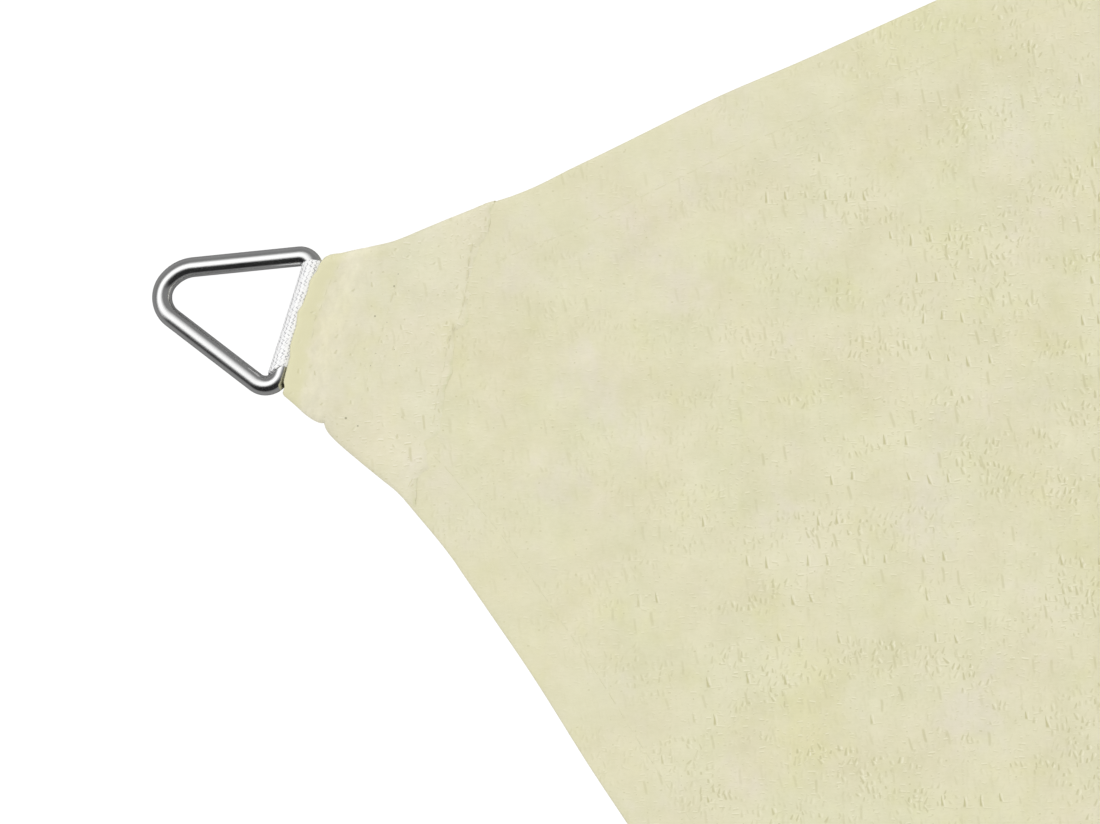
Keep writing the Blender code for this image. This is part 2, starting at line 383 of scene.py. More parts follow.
def cellsOf(x, y, loose, shift=0.0):  # the place inside one cell of the knit, mm
    column, course = knit["column"], knit["course"]
    s = x * (1 / column) + shift
    t = y * (1 / course) + shift
    dice = diceAt(joinXyz(s.math("FLOOR"), t.math("FLOOR"), column))
    inX = s.math("FRACT") * column - 0.5 * column + (dice[1] - 0.5) * loose[0]
    inY = t.math("FRACT") * course - 0.5 * course + (dice[2] - 0.5) * loose[1]
    return dice, inX, inY


def scattered(x, y, kind, upright=False):  # dark strokes at uneven spots, and a light one beside each
    column, course, wide, long, share, tilt, darkness, lightness = kind
    s = x * (1 / column)
    t = y * (1 / course) + column
    inputs = {"Vector": joinXyz(s, t), "Scale": 1.0}
    spots = addNode(s.socket.id_data, "ShaderNodeTexVoronoi", inputs, voronoi_dimensions="2D")
    spotX, spotY, _ = splitXyz(Signal(spots, "Position"))
    dice = splitXyz(Signal(spots, "Color"))
    aside, along = (s - spotX) * column, (t - spotY) * course
    if not upright:
        aside, along = along, aside
    if tilt:
        aside = along * ((dice[1] - 0.5) * tilt) + aside
    wedge = largest(along * -0.2 + wide, 0.08) if upright else wide  # wider at the foot
    long = (dice[2] + 0.5) * long
    here = dice[0].fade(1 - share, 1.0)
    dark = strokeMask(aside, along, wedge, long) * here * darkness
    return dark, strokeMask(aside - 2 * wide, along, wide, long) * here * lightness


def slitMarks(leaning, y, shown):  # slits where the knit is open, dark and light marks with them
    size, foot, edge = knit["slit"], knit["foot"], knit["edge"]
    dice, x, y = cellsOf(leaning, y, size["loose"])
    x = x - size["aside"]
    wide = largest(y * -size["flare"] + size["wide"], size["least"])
    long = dice[2] * size["longer"] + size["long"]
    chosen = (dice[0] * 0.8 + shown).fade(*knit["chosen"])
    slit = strokeMask(x, y, wide, long) * chosen
    beside = strokeMask(x - edge["aside"], y, edge["wide"], long) * chosen
    footX, footY = x - foot["long"], y + long
    under = strokeMask(footY, footX, foot["wide"], foot["long"]) * chosen
    lower = strokeMask(footY - 2 * foot["wide"], footX, foot["wide"], foot["long"]) * chosen
    return slit, [slit * size["dark"], under * foot["dark"]], [beside * edge["light"], lower * foot["light"]]


def stainedCloth(x, y, evenX, evenY, level, clump):
    tall = joinXyz(evenX, evenY * 0.75)
    hue = noiseAt(tall, 0.24, 2.0, 0.55) * stains["hueSmall"] + noiseAt(tall, 0.055) * stains["hueMiddle"]
    hue = hue + noiseAt(level, 0.015) * stains["hueLarge"] + clump * stains["hueClump"]
    color = hue.fade(stains["middle"], stains["strawAt"]).between(stains["cream"], stains["straw"])
    color = hue.fade(stains["middle"], stains["shellAt"]).between(color, stains["shell"])
    clouds = noiseAt(level, 0.075, 4.0, 0.75)
    threads = noiseAt(joinXyz(x * 0.55, y * 1.9, 4.0), 1.0, 1.0, 0.6)
    shade = (clouds - 0.5) * stains["shade"] + (threads - 0.5) * stains["threads"] + 1.0
    warmth = (noiseAt(joinXyz(evenX, evenY, 40.0), 0.05, 3.0) - 0.5) * stains["warmth"]
    more = stains["blueMore"]
    return color.tinted(joinXyz(shade + warmth, shade - warmth, shade * more + (1 - more)))


def makeKnitGroup():
    inputs = {"Vector": "Vector", "Open": "Float", "Rough": "Float", "Ticks": "Float"}
    outputs = {"Color": "Color", "Height": "Float", "Gloss": "Float"}
    tree, given, out = makeTree("shadeKnit", "ShaderNodeTree", inputs, outputs)

    # metres on the sail to millimetres on the grain
    turn = {"Vector": given["Vector"], "Rotation": (0, 0, sail["grain"]), "Scale": (1 / mm, 1 / mm, 1 / mm)}
    evenX, evenY, _ = splitXyz(given["Vector"].node("ShaderNodeMapping", turn))
    level = joinXyz(evenX, evenY)
    offX, offY, _ = splitXyz(noiseAt(level, 0.12, 1.0, output=1))
    x = (offX - 0.5) * knit["warp"] + evenX
    y = (offY - 0.5) * knit["warp"] + evenY
    leaning = y * knit["lean"] + x

    # where the knit is open enough for its slits to show, where it is rough, and where ticks stand
    shown = noiseAt(level, 0.034).fade(*knit["opened"]) * given["Open"]
    rough = noiseAt(level, 0.045).fade(*knit["rough"]) * given["Rough"]
    clumps = noiseAt(joinXyz(evenX * 0.038, evenY * 0.085, 2.0), 1.0, 3.0, 0.6)
    clump = clumps.fade(*knit["clumps"]) * given["Ticks"]

    slit, dark, light = slitMarks(leaning, y, shown)
    smear = knit["smear"]
    dice, smearX, smearY = cellsOf(leaning, y, smear["loose"], 0.5)
    blurred = strokeMask(smearX, smearY, smear["wide"], smear["long"]) * dice[0].fade(0.3, 0.9)
    dark.append(blurred * rough * smear["dark"])
    for name, amount in (("dash", rough), ("fleck", rough), ("tick", clump)):
        strokes, beside = scattered(x, y, knit[name], name == "tick")
        dark.append(strokes * amount)
        light.append(beside * amount)
    dark.append(scattered(x, y, knit["prick"])[0])

    color = stainedCloth(x, y, evenX, evenY, level, clump)
    color = largest(*light, shown * knit["openLight"]).between(color, knit["tape"])
    color = largest(*dark).between(color, knit["olive"])
    tapes = noiseAt(joinXyz(leaning * 1.6, y * 0.35), 1.0, 1.0)
    courses = noiseAt(joinXyz(evenX * 0.3, evenY * 1.5, 3.0), 1.0, 1.0)
    height = tapes * knit["tapeHeight"] + courses * knit["courseHeight"] - slit * knit["slitDepth"]
    feed(out, {"Color": color, "Height": height, "Gloss": tapes.fade(*knit["gloss"])})
    return tree


knitGroup = makeKnitGroup()

# How the knit changes over the sheet, by millimetres from a side or inward from a corner.
sheetLook = {
    "openFromSide": (7.0, 26.0),
    "openFromCorner": (60.0, 160.0),
    "calmCorner": (80.0, 150.0),
    "rough": (0.78, 1.35),  # by a corner, and away from it
    "ticks": (0.45, 1.2),
    "hem": {"from": 22.0, "to": 13.0, "amount": 0.2, "color": (0.79, 0.76, 0.545)},  # two layers
    "relief": 0.16 * mm,
}


def makeSheetMaterial():
    material, tree, shader = newMaterial("creamShadeKnit", 0.6, 0.3)
    fromEdge = readAttribute(tree, "edgeDistance")
    fromCorner = readAttribute(tree, "cornerDistance")
    made = useGroup(
        tree, knitGroup, Vector=objectPlace(tree),
        Open=fromEdge.fade(*sheetLook["openFromSide"]) * fromCorner.fade(*sheetLook["openFromCorner"]),
        Rough=fromCorner.fade(*sheetLook["calmCorner"], *sheetLook["rough"]),
        Ticks=fromCorner.fade(*sheetLook["calmCorner"], *sheetLook["ticks"]))
    color = stained(made["Color"], fromEdge, sheetLook["hem"])
    normal = bump(made["Height"], sheetLook["relief"])
    feed(shader, {"Base Color": color, "Roughness": made["Gloss"], "Normal": normal})
    return material


# The patch's own finish, by millimetres inward from its mouth.
patchLook = {
    "tint": (1.047, 1.042, 1.097),
    "rough": (5.0, 24.0, 0.4, 1.2),  # from, to, and how much at each
    "ticks": 0.3,
    "ragged": 12.0,  # how far the stains' edges wander
    "pale": {"from": 16.5, "to": 6.5, "amount": 0.4, "color": (0.80, 0.755, 0.605)},
    "band": {"from": 6.5, "to": 3.5, "amount": 0.85, "color": (0.760, 0.729, 0.470)},
    "puckers": (0.55, 0.24),  # painted light and shade: light and dark strokes of puckers along the mouth
    "puckerShading": 0.035,
    "puckerFrom": (2.0, 5.0),
    "puckerTo": (15.0, 8.0),
    "slope": (14.6, 8.2, -0.03, 0.058),  # painted light: lighter near the mouth, where it faces the light, a little darker further in
    "slopeTo": (27.0, 20.0),
    "patchyDark": {"from": 37.0, "to": 38.2, "amount": 0.6, "color": (0.66, 0.66, 0.40)},  # darker in patches along its inner edge
    "holeShade": (0.40, 0.38, 0.25),
    "relief": 0.18 * mm,
    "pinchShading": (3.4, 4.2, 0.3, 0.5, 0.7, 1.2, 0.4, 0.6),  # painted shade and painted highlight of little pinches where it is sewn through
}

# where a needle went in and the thread has gone; the dark in each hole is painted shade
needleHoles = (
    # inward, across, size, mm
    (19.0, 18.8, 0.16), (18.9, 15.6, 0.25), (16.5, 7.0, 0.26), (19.8, 6.4, 0.13), (19.4, -1.9, 0.13),
    (19.1, -5.2, 0.24), (16.9, -19.6, 0.34), (20.3, -20.6, 0.23), (23.5, 0.4, 0.13), (25.9, -3.1, 0.14),
)


def needleMask(spot):
    near = None
    for inward, across, size in needleHoles:
        inputs = {0: spot, 1: (inward, across, 0)}
        away = spot.node("ShaderNodeVectorMath", inputs, "Value", operation="DISTANCE") / size
        near = near.math("MINIMUM", away) if near else away
    return near.fade(1.2, 0.5)


def makePatchMaterial():
    material, tree, shader = newMaterial("creamPatchKnit", 0.6, 0.3)
    look = patchLook
    place = objectPlace(tree)
    spot = weavePlace(tree)
    inward, across, _ = splitXyz(spot)  # from the mouth's middle
    fromMouth = readAttribute(tree, "mouthDistance")
    made = useGroup(tree, knitGroup, Vector=place, Open=0.0, Ticks=look["ticks"],
                    Rough=fromMouth.fade(*look["rough"]))
    color = made["Color"].tinted(look["tint"])
    ragged = (noiseAt(place, 170.0, 3.0, 0.65) - 0.5) * look["ragged"]
    color = stained(color, ragged + fromMouth, look["pale"])

    # painted light and shade: light and dark strokes of puckers along the mouth
    stretched = joinXyz(inward * look["puckers"][0], across * look["puckers"][1])
    strokes = noiseAt(stretched, 1.0, 2.0, 0.6).fade(0.3, 0.7, -1.0, 1.0) * look["puckerShading"]
    strokes = strokes * fromMouth.fade(*look["puckerFrom"]) * fromMouth.fade(*look["puckerTo"])
    # painted light: lighter near the mouth, a little darker further in
    lit = fromMouth.fade(*look["slope"]) * fromMouth.fade(*look["slopeTo"])
    shade = strokes + 1.0 + lit
    color = color.tinted(joinXyz(shade, shade, shade))
    color = stained(color, ragged * 0.5 + fromMouth, look["band"])

    # painted shade and painted highlight of the little pinches
    pinchShading, pinchHighlight = scattered(inward, across, look["pinchShading"], True)
    color = pinchHighlight.between(color, knit["tape"])
    color = pinchShading.between(color, knit["olive"])
    # darker in patches along the inner edge
    patchyDark = look["patchyDark"]
    patchy = noiseAt(place, 420.0).fade(0.35, 0.65) * patchyDark["amount"]
    color = (fromMouth.fade(patchyDark["from"], patchyDark["to"]) * patchy).between(color, patchyDark["color"])
    # painted shade inside the needle holes
    color = needleMask(spot).between(color, look["holeShade"])
    normal = bump(made["Height"], look["relief"])
    feed(shader, {"Base Color": color, "Roughness": made["Gloss"], "Normal": normal})
    return material


threadLook = {"dark": (0.70, 0.67, 0.45), "light": (0.80, 0.77, 0.56), "twist": 4200.0, "relief": 0.05 * mm}


def makeThreadMaterial():
    material, tree, shader = newMaterial("creamThread", 0.55, 0.3)
    place = objectPlace(tree)
    color = noiseAt(place, 900.0).between(threadLook["dark"], threadLook["light"])
    normal = bump(noiseAt(place, threadLook["twist"]), threadLook["relief"])
    feed(shader, {"Base Color": color, "Normal": normal})
    return material


sheetMaterial = makeSheetMaterial()
patchMaterial = makePatchMaterial()
threadMaterial = makeThreadMaterial()
print("cloth materials made")

# The sheet: one layer with its hem turned under. Distances in millimetres.
sheetSizes = {
    "stitchIn": 14.6,  # the hem's stitch row, from the edge
    "start": 9.0,      # the sheet ends this far inside a mouth
    "nearStep": 3.2,   # grid lines near the sides
    "nearEnd": 112.0,
    "growth": 1.09,
    "farStep": 24.0,
    "waves": (44, 100),  # low waves begin here, from a mouth
    "stitchFrom": 41.5,  # the hem's stitches begin past the patch
    "stitchRise": 0.66,  # they lie in the hem's dimpled row
}

# a folded edge: distance in, rise
foldEdge = ((0.73, 0.0), (0.46, 0.11), (0.35, 0.375), (0.46, 0.64), (0.73, 0.75))
layerRise = 0.75  # an upper layer lies this much above the lower one

# both edges at a corner: inward from the mouth, half width on the +Y side and on the -Y side
edgeRows = (
    # inward, left, right
    (9.0, 21.3, 20.6), (15.7, 25.8, 24.5), (22.5, 31.2, 27.6), (30.1, 37.4, 30.8), (36.5, 43.1, 34.9),
    (39.0, 44.8, 36.55), (42.2, 47.2, 38.65), (47.0, 51.3, 41.8), (53.0, 57.1, 46.1), (56.3, 60.1, 48.8),
    (64.7, 67.9, 55.5), (81.4, 83.5, 69.0), (100.9, 99.9, 86.0), (119.5, 116.1, 101.5),
    (300.0, 273.9, 264.0),
)

# the edge of the hem, turned under: distance from the side, rise above the lower layer
foldRows = (
    (17.0, 0.0), (12.5, 0.0), (7.0, 0.0), (2.5, 0.0), *foldEdge, (2.5, 0.75), (6.0, 0.75), (10.0, 0.75),
    (13.6, 0.75), (14.6, 0.66), (15.6, 0.73), (17.2, 0.66), (19.4, 0.42), (22.0, 0.16), (24.8, 0.03),
    (27.6, 0.0),
)
flapCount = 8  # rows of the list that lie under the sheet or in its fold

# where the sheet stands off the ground: the same long soft ridges as its solid
ridgeRows = (
    # corner, degrees from the diagonal, start, end, width at start, width at end, height
    (1, 17, 190, 760, 40, 95, 4.0), (1, -21, 230, 640, 45, 80, 3.0), (2, 5, 170, 900, 42, 110, 5.0),
    (2, -26, 210, 560, 40, 75, 3.5), (3, 24, 180, 700, 42, 90, 4.5), (3, -10, 240, 820, 48, 100, 3.5),
    (4, -18, 170, 660, 40, 85, 4.0), (4, 12, 260, 860, 50, 105, 4.5),
)

# short soft creases at the corners: from and to (inward, across), half width, height
creaseRows = (
    # corner, inward, across, inward, across, width, height
    (1, 75, -59, 92, -63.5, 3.4, 0.55), (1, 90, -62.5, 104, -72, 3.0, 0.5),
    (1, 90, -45, 126, -58.5, 4.2, 0.5), (2, 70, 48, 112, 66, 3.6, 0.6), (2, 84, -52, 120, -60, 4.0, 0.5),
    (3, 72, -50, 98, -66, 3.4, 0.6), (3, 95, 40, 130, 52, 4.2, 0.5), (4, 78, 56, 110, 70, 3.4, 0.55),
    (4, 88, -38, 124, -44, 4.4, 0.5),
)

# low waves over the rest of it: size, height, depth in the noise
waveRows = ((260, 0.9, 0.0), (95, 0.5, 4.0), (42, 0.28, 9.0))

# how high it is held by a corner's loop: inward, height
liftCurve = smoothCurve([(0, 1.5), (28, 1.5), (38, 0.95), (60, 0.0)])


def sideRows():
    tip, unit = sail["tip"] / math.sqrt(2), mm / math.sqrt(2)
    start = [((inward + left) * unit, (inward - left) * unit) for inward, left, _ in edgeRows]
    end = [(2 * cornerSquare - (inward + right) * unit, (inward - right) * unit)
           for inward, _, right in reversed(edgeRows)]
    return [(-tip, -tip), *start, (cornerSquare, sail["edgeSag"]), *end, (2 * cornerSquare + tip, -tip)]


edgeIn = smoothCurve(sideRows())


def sidePoint(t, turns):  # a side of the sheet, turned by quarters
    along = t * span - sail["tip"] / math.sqrt(2)
    x, y = along - cornerSquare, cornerSquare - edgeIn(along)
    for _ in range(turns % 4):
        x, y = -y, x
    return x, y


def sheetPoint(across, up):  # both from 0 to 1, between the four curved sides
    tips = [sidePoint(np.zeros(1), turns) for turns in range(4)]
    weights = ((1 - across) * up, (1 - across) * (1 - up), across * (1 - up), across * up)
    sides = ((sidePoint(across, 0), up), (sidePoint(1 - across, 2), 1 - up),
             (sidePoint(up, 1), 1 - across), (sidePoint(1 - up, 3), across))
    return [sum(side[axis] * weight for side, weight in sides)
            - sum(tip[axis] * weight for tip, weight in zip(tips, weights)) for axis in (0, 1)]


def cornerDistance(x, y):  # millimetres inward from the nearest mouth's line
    return np.min([intoCorner(corner, x, y)[0] for corner in corners], axis=0) / mm


def groundHeight(x, y):  # the sheet's underside, in millimetres
    near = cornerDistance(x, y)
    height = liftCurve(near)
    for corner, degrees, start, end, firstWidth, lastWidth, top in ridgeRows:
        along, aside = turned(*intoCorner(corner, x, y), math.radians(degrees))
        inside = np.clip((along / mm - start) / (end - start), 0, 1)
        width = firstWidth + (lastWidth - firstWidth) * inside
        height = height + top * np.sin(np.pi * inside) ** 0.7 * softBump(aside / mm, width)
    for corner, v0, u0, v1, u1, width, top in creaseRows:
        inward, across = (value / mm for value in intoCorner(corner, x, y))
        along, aside = turned(inward - v0, across - u0, math.atan2(u1 - u0, v1 - v0))
        along = along / math.hypot(v1 - v0, u1 - u0) - 0.5
        height = height + top * np.exp(-(aside / width) ** 2) * softBump(along, 0.75)
    return height + wander(x, y) * softStep(near, *sheetSizes["waves"])


def wander(x, y):  # loose, low waves, never under the ground
    total = np.zeros(len(x))
    for size, height, depth in waveRows:
        for place, (px, py) in enumerate(zip(x, y)):
            total[place] += height * (0.5 + 0.5 * noise.noise((px / mm / size, py / mm / size, depth)))
    return total


def axisLines():  # (distance from the first side in mm, rise) along one axis
    full = span / mm
    half = list(foldRows)
    distance, step = half[-1][0], sheetSizes["nearStep"]
    while distance + step < full / 2:
        distance += step
        half.append((distance, 0.0))
        if distance > sheetSizes["nearEnd"]:
            step = min(step * sheetSizes["growth"], sheetSizes["farStep"])
    return half + [(full / 2, 0.0)] + [(full - distance, rise) for distance, rise in reversed(half)]


def buildSheet():
    lines = axisLines()
    count = len(lines)
    place = np.array([line[0] for line in lines]) * mm / span
    rise = np.array([line[1] for line in lines])
    under = np.array([min(number, count - 1 - number) < flapCount for number in range(count)])
    across, up, riseA, riseB, underA, underB = (
        grid.ravel() for line in (place, rise, under) for grid in np.meshgrid(line, line))
    x, y = sheetPoint(across, up)
    layer = np.where(underA, riseA, np.where(underB, riseB, np.maximum(riseA, riseB)))
    z = (groundHeight(x, y) + layer) * mm + sail["cloth"] / 2
    nearest = np.minimum(np.minimum(across, 1 - across), np.minimum(up, 1 - up)) * span / mm
    faces = [face for face in gridFaces(count, count)
             if not (underA[list(face)].any() and underB[list(face)].any())]
    points = np.stack([x, y, z], axis=1)
    sheet = makePiece("sailSheet", points, faces, sheetMaterial,
                      [("edgeDistance", nearest), ("cornerDistance", cornerDistance(x, y))])

    cut = bmesh.new()  # the tips end inside the patches
    cut.from_mesh(sheet.data)
    for corner in corners:
        place = cornerMatrix(corner)
        bmesh.ops.bisect_plane(
            cut, geom=[*cut.verts, *cut.edges, *cut.faces], dist=1e-7, clear_inner=True,
            plane_co=place @ Vector((sheetSizes["start"] * mm, 0, 0)),
            plane_no=place.to_3x3() @ Vector((1, 0, 0)))
    loose = [vert for vert in cut.verts if not vert.link_faces]
    bmesh.ops.delete(cut, geom=loose, context="VERTS")
    cut.to_mesh(sheet.data)
    cut.free()
    return thicken(sheet, sail["cloth"])


sailSheet = buildSheet()
enter(sailSheet, "sail_cloth")
print("sheet made:", len(sailSheet.data.polygons), "faces")

# The patch: a sleeve round the sail's corner, its mouth turned in. Millimetres.
patchSizes = {
    "wall": 0.5,
    "clear": 0.05,              # its underside stands off the ground
    "thinEdge": 0.3,            # the part of the wall left at the inner edge
    "round": 2.2,               # how sharply its side folds turn
    "mouthFold": 5.2,           # the mouth's turned-in band
    "end": 38.3,
    "topPoints": 110,
    "lowPoints": 20,            # in each half of its underside
    "step": 0.75,
    "bandDrop": 0.25,           # one layer lies lower than the mouth's turned-in band
    "sag": 0.75,                # its upper layer settles onto what lies inside
    "sagFrom": (22, 35),
    "sagSides": (14, 24),
    "sewn": (0.28, 0.32, 0.3),  # how far its inner edge sinks: everywhere, at its jogs, unevenly
    "fray": 0.35,
    "lipFrom": (13, 5.2),
    "underLip": 0.4,            # how far the lower layer stands out, at the mouth and inside
    "underEdge": 1.2,
}

patchRows = (
    # inward, left, right, height
    (0.0, 17.1, 18.4, 10.2), (1.6, 18.6, 19.1, 9.8), (4.0, 19.75, 20.2, 9.0), (8.0, 22.1, 22.1, 7.4),
    (9.9, 23.15, 22.6, 6.6), (11.0, 23.8, 22.7, 6.1),
    (11.8, 24.25, 22.35, 5.85),  # a small nick in the right fold
    (13.1, 25.0, 24.0, 5.4), (15.7, 26.65, 25.7, 4.8), (22.5, 32.2, 28.8, 4.2), (30.1, 38.3, 32.0, 3.8),
    (33.5, 40.6, 33.6, 3.4), (38.3, 43.9, 36.9, 2.9),
)

# how far the mouth's upper lip stands out, by the distance across (+ is the left side)
lipRows = (
    (-17.8, -0.2), (-16.3, -0.3), (-15.2, 0.3), (-12.6, 0.45), (-10.0, 0.55), (-8.7, 0.6), (-6.4, 1.3),
    (-3.8, 1.4), (-1.1, 1.3), (0.6, 1.6), (2.4, 2.0), (4.0, 1.4), (8.0, 1.05), (10.5, 1.3), (12.0, 0.95),
    (13.4, 0.35), (14.7, 0.25), (16.2, 0.0), (17.2, -0.3),
)

# where the patch's inner edge lies: slanting runs with a short jog between them
seamRows = (
    # across, inward
    (-44.0, 40.6), (-36.1, 40.0), (-27.9, 38.0), (-26.9, 41.1), (-18.9, 39.3), (-17.5, 40.6),
    (-3.6, 38.2), (-2.2, 39.3), (9.3, 36.6), (10.5, 39.7), (16.7, 38.1), (18.2, 38.9),
    (30.3, 36.1), (33.0, 37.7), (45.0, 36.5),
)

# low waves in its upper layer: height, waves for each mm inward and across, and where they begin and end
patchWaves = {
    "loose": (0.22, 0.11, 0.11, 3, 9, 33, 38.3),
    "mouthPuckers": (0.42, 0.30, 0.085, 2.5, 5, 9, 17),
    "seamPuckers": (0.22, 0.12, 0.28, 29, 34, 38, 45),
}

patchShape = [smoothCurve([(row[0], row[column]) for row in patchRows]) for column in (1, 2, 3)]


def lipShift(across):
    return np.interp(across, *zip(*lipRows))


def seamInward(across):  # its corners are soft
    return sum(np.interp(across + aside, *zip(*seamRows)) for aside in (-1.2, -0.6, 0.0, 0.6, 1.2)) / 5


def seamSink(across, corner):  # the inner edge is sewn down, most of all at its jogs
    slope = np.abs(seamInward(across + 0.5) - seamInward(across - 0.5))
    uneven = np.array([noise.noise((value * 0.23, corner * 3.0, 6.0)) for value in across])
    least, jogs, loose = patchSizes["sewn"]
    return least + jogs * softStep(slope, 0.3, 1.0) + loose * uneven


def patchSag(inward, across):
    left = patchShape[0](inward)
    outer, inner = patchSizes["sagSides"]
    middle = softStep(np.abs(across), left - outer, left - inner)
    return patchSizes["sag"] * middle * softStep(inward, *patchSizes["sagFrom"])


def patchTop(inward, across):  # height of the patch's upper face, mm
    return patchShape[2](inward) - patchSag(inward, across) - bandDrop(inward)


def bandDrop(inward):
    return patchSizes["bandDrop"] * softStep(inward, 4.6, 7.0) * softStep(inward, 20, 10)


def sleeveSection(left, right, low, high):
    bend = min(patchSizes["round"], (high - low) * 0.49)
    middle = (left - right) / 2
    quarter = np.radians(np.linspace(0, 90, 6))

    def rounded(across, up, first):
        return [(across + bend * math.cos(first + a), up + bend * math.sin(first + a)) for a in quarter]

    right = -right + bend
    left = left - bend
    halves = np.linspace(0, 1, patchSizes["lowPoints"], endpoint=False)
    under = [(middle + (left - middle) * t, low) for t in halves]
    over = [(left + (right - left) * t, high) for t in np.linspace(0, 1, patchSizes["topPoints"])[1:-1]]
    back = [(right + (middle - right) * t, low) for t in halves[1:]]
    return np.array([*under, *rounded(left, low + bend, -math.pi / 2), *rounded(left, high - bend, 0), *over,
                     *rounded(right, high - bend, math.pi / 2), *rounded(right, low + bend, math.pi), *back])


def patchStations():  # (inward, inset from the sleeve's outer face)
    half, fold = patchSizes["wall"] / 2, patchSizes["mouthFold"]
    stations = [(fold, half + layerRise), (fold / 2, half + layerRise)]
    stations += [(inward, half + up) for inward, up in foldEdge[:0:-1]]
    inward = foldEdge[0][0]
    while inward < patchSizes["end"]:
        stations.append((inward, half))
        inward += patchSizes["step"]
    return stations + [(patchSizes["end"], half)]


def buildPatch(corner):
    rows, mouthDistance, end = [], [], patchSizes["end"]
    for inward, inset in patchStations():
        left, right, high = (float(curve(inward)) for curve in patchShape)
        section = sleeveSection(left - inset, right - inset, inset + patchSizes["clear"], high - inset)
        across, up = section.T
        upper = softStep(up, high * 0.3, high * 0.7)
        up = up - upper * (patchSag(inward, across) + bandDrop(inward))
        for high, along, aside, start, full, least, last in patchWaves.values():
            wave = [noise.noise((inward * along, value * aside, corner * 7.0 + along)) for value in across]
            reach = softStep(inward, start, full) * softStep(inward, last, least)
            up = up + upper * high * np.array(wave) * reach
        up = up - upper * seamSink(across, corner) * softStep(inward, end - 2.4, end)
        lip = lipShift(across) * upper + patchSizes["underLip"] * (1 - upper)
        fray = [patchSizes["fray"] * noise.noise((value * 0.8, corner * 5.0, 1.0)) for value in across]
        edge = (seamInward(across) + fray - end) * upper + patchSizes["underEdge"] * (1 - upper)
        place = inward - lip * softStep(inward, *patchSizes["lipFrom"]) + edge * softStep(inward, 28, end)
        rows.append(np.stack([place, across, up], axis=1))
        mouthDistance.append(np.full(len(across), inward))
    points = np.concatenate(rows) * mm
    count = len(rows[0])
    frameOf = np.array(cornerMatrix(corner))
    points = points @ frameOf[:3, :3].T + frameOf[:3, 3]
    faces = [face[::-1] for face in gridFaces(len(rows), count, closed=True)]
    place = [(inward, value) for row, (inward, _) in zip(rows, patchStations()) for value in row[:, 1]]
    patch = makePiece(f"cornerPatch{corner}", points, faces, patchMaterial,
                      [("mouthDistance", np.concatenate(mouthDistance))], place)
    wall = patch.vertex_groups.new(name="wall")
    for number, (inward, _) in enumerate(patchStations()):
        full = float(softStep(inward, end, end - 1.2))
        wall.add(range(number * count, (number + 1) * count), full, "REPLACE")
    return thicken(patch, patchSizes["wall"] * mm, "wall", patchSizes["thinEdge"])


patches = {}
for corner in corners:
    patches[corner] = buildPatch(corner)
    enter(patches[corner], f"corner_patch_{corner}")
print("patches made:", len(patches[1].data.polygons), "faces each")

# The webbing loop: folded round the ring's bar, its tails inside the patch. Millimetres, from the bar.
strap = {
    "thick": 0.6,
    "radius": 2.86,           # its middle layer, round the bar
    "topBend": (14.2, -2.6),  # where the upper tail lies down on the sheet
    "lowBend": (10.0, -4.1),
    "tail": 30.2,
    "columns": 72,
    "rowPitch": 1.05,
    "yarnPitch": 1.0,
    "zigzag": 1.0,
    "relief": 0.02,
    "step": 0.45,
    "turnPoints": 52,
    "clear": 0.1,             # its edges ride this far over the bends of the wire
    "rideFrom": 11.5,         # further across than this
    "ride": (80, 215),        # and between these degrees round the bar
    "rideEnd": (215, 180),
    "uvShift": 20,
}

# its two edges round the loop: degrees round the bar, edge on the +Y side, edge on the -Y side
strapEdgeRows = (
    (60.0, 17.5, -10.4), (90.0, 17.3, -10.4), (120.0, 16.9, -11.6), (150.0, 16.1, -12.7),
    (180.0, 15.6, -13.3), (210.0, 15.0, -13.4), (270.0, 14.4, -13.3),
)


def ringLine():  # the wire's centre line, a closed loop, in metres
    marks = []
    for number, (x, y, radius) in enumerate(ringCorners):
        sharp = Vector((x, y))
        before = (Vector(ringCorners[number - 1][:2]) - sharp).normalized()
        after = (Vector(ringCorners[(number + 1) % len(ringCorners)][:2]) - sharp).normalized()
        half = before.angle(after) / 2
        centre = sharp + (before + after).normalized() * radius / math.sin(half)
        first = sharp + before * radius / math.tan(half) - centre
        turn = math.pi - 2 * half
        for angle in np.linspace(0, turn, max(10, int(radius * mm * turn / ringSizes["step"] * 2))):
            marks.append((centre + Matrix.Rotation(angle, 2) @ first).to_3d() * mm)
    points = []
    for number, mark in enumerate(marks):
        after = marks[(number + 1) % len(marks)]
        pieces = max(1, round((after - mark).length / ringSizes["step"]))
        points += [mark.lerp(after, part / pieces) for part in range(pieces)]
    return points


ringMarks = np.array([point[:2] for point in ringLine()]) / mm


def wireTop(x, y):  # how high the wire stands over a point beside the bar, mm
    away = np.sqrt(((ringMarks - (x, y)) ** 2).sum(axis=1).min())
    reach = ringSizes["wire"] / 2 / mm + strap["clear"]
    return math.sqrt(reach ** 2 - away ** 2) if away < reach else None


def strapPath():  # (x, z, degrees round the bar) down its length
    radius = strap["radius"]
    topX, topZ = strap["topBend"]
    lowX, lowZ = strap["lowBend"]
    first = math.atan2(topZ, topX) + math.acos(radius / math.hypot(topX, topZ))
    last = 2 * math.pi + math.atan2(lowZ, lowX) - math.acos(radius / math.hypot(lowX, lowZ))
    marks = [(strap["tail"], topZ, 60.0), (topX + 2.5, topZ, 60.0), (topX - 1.5, topZ + 0.45, 60.0)]
    for angle in np.linspace(first, last, strap["turnPoints"]):
        marks.append((radius * math.cos(angle), radius * math.sin(angle), math.degrees(angle)))
    marks += [(lowX - 1.5, lowZ + 0.2, 270.0), (lowX + 2.5, lowZ, 270.0), (strap["tail"] - 2, lowZ, 270.0)]
    path = []
    for near, far in zip(marks, marks[1:]):
        pieces = max(1, round(math.hypot(far[0] - near[0], far[1] - near[1]) / strap["step"]))
        for part in range(pieces):
            path.append([a + (b - a) * part / pieces for a, b in zip(near, far)])
    return [*path, list(marks[-1])]
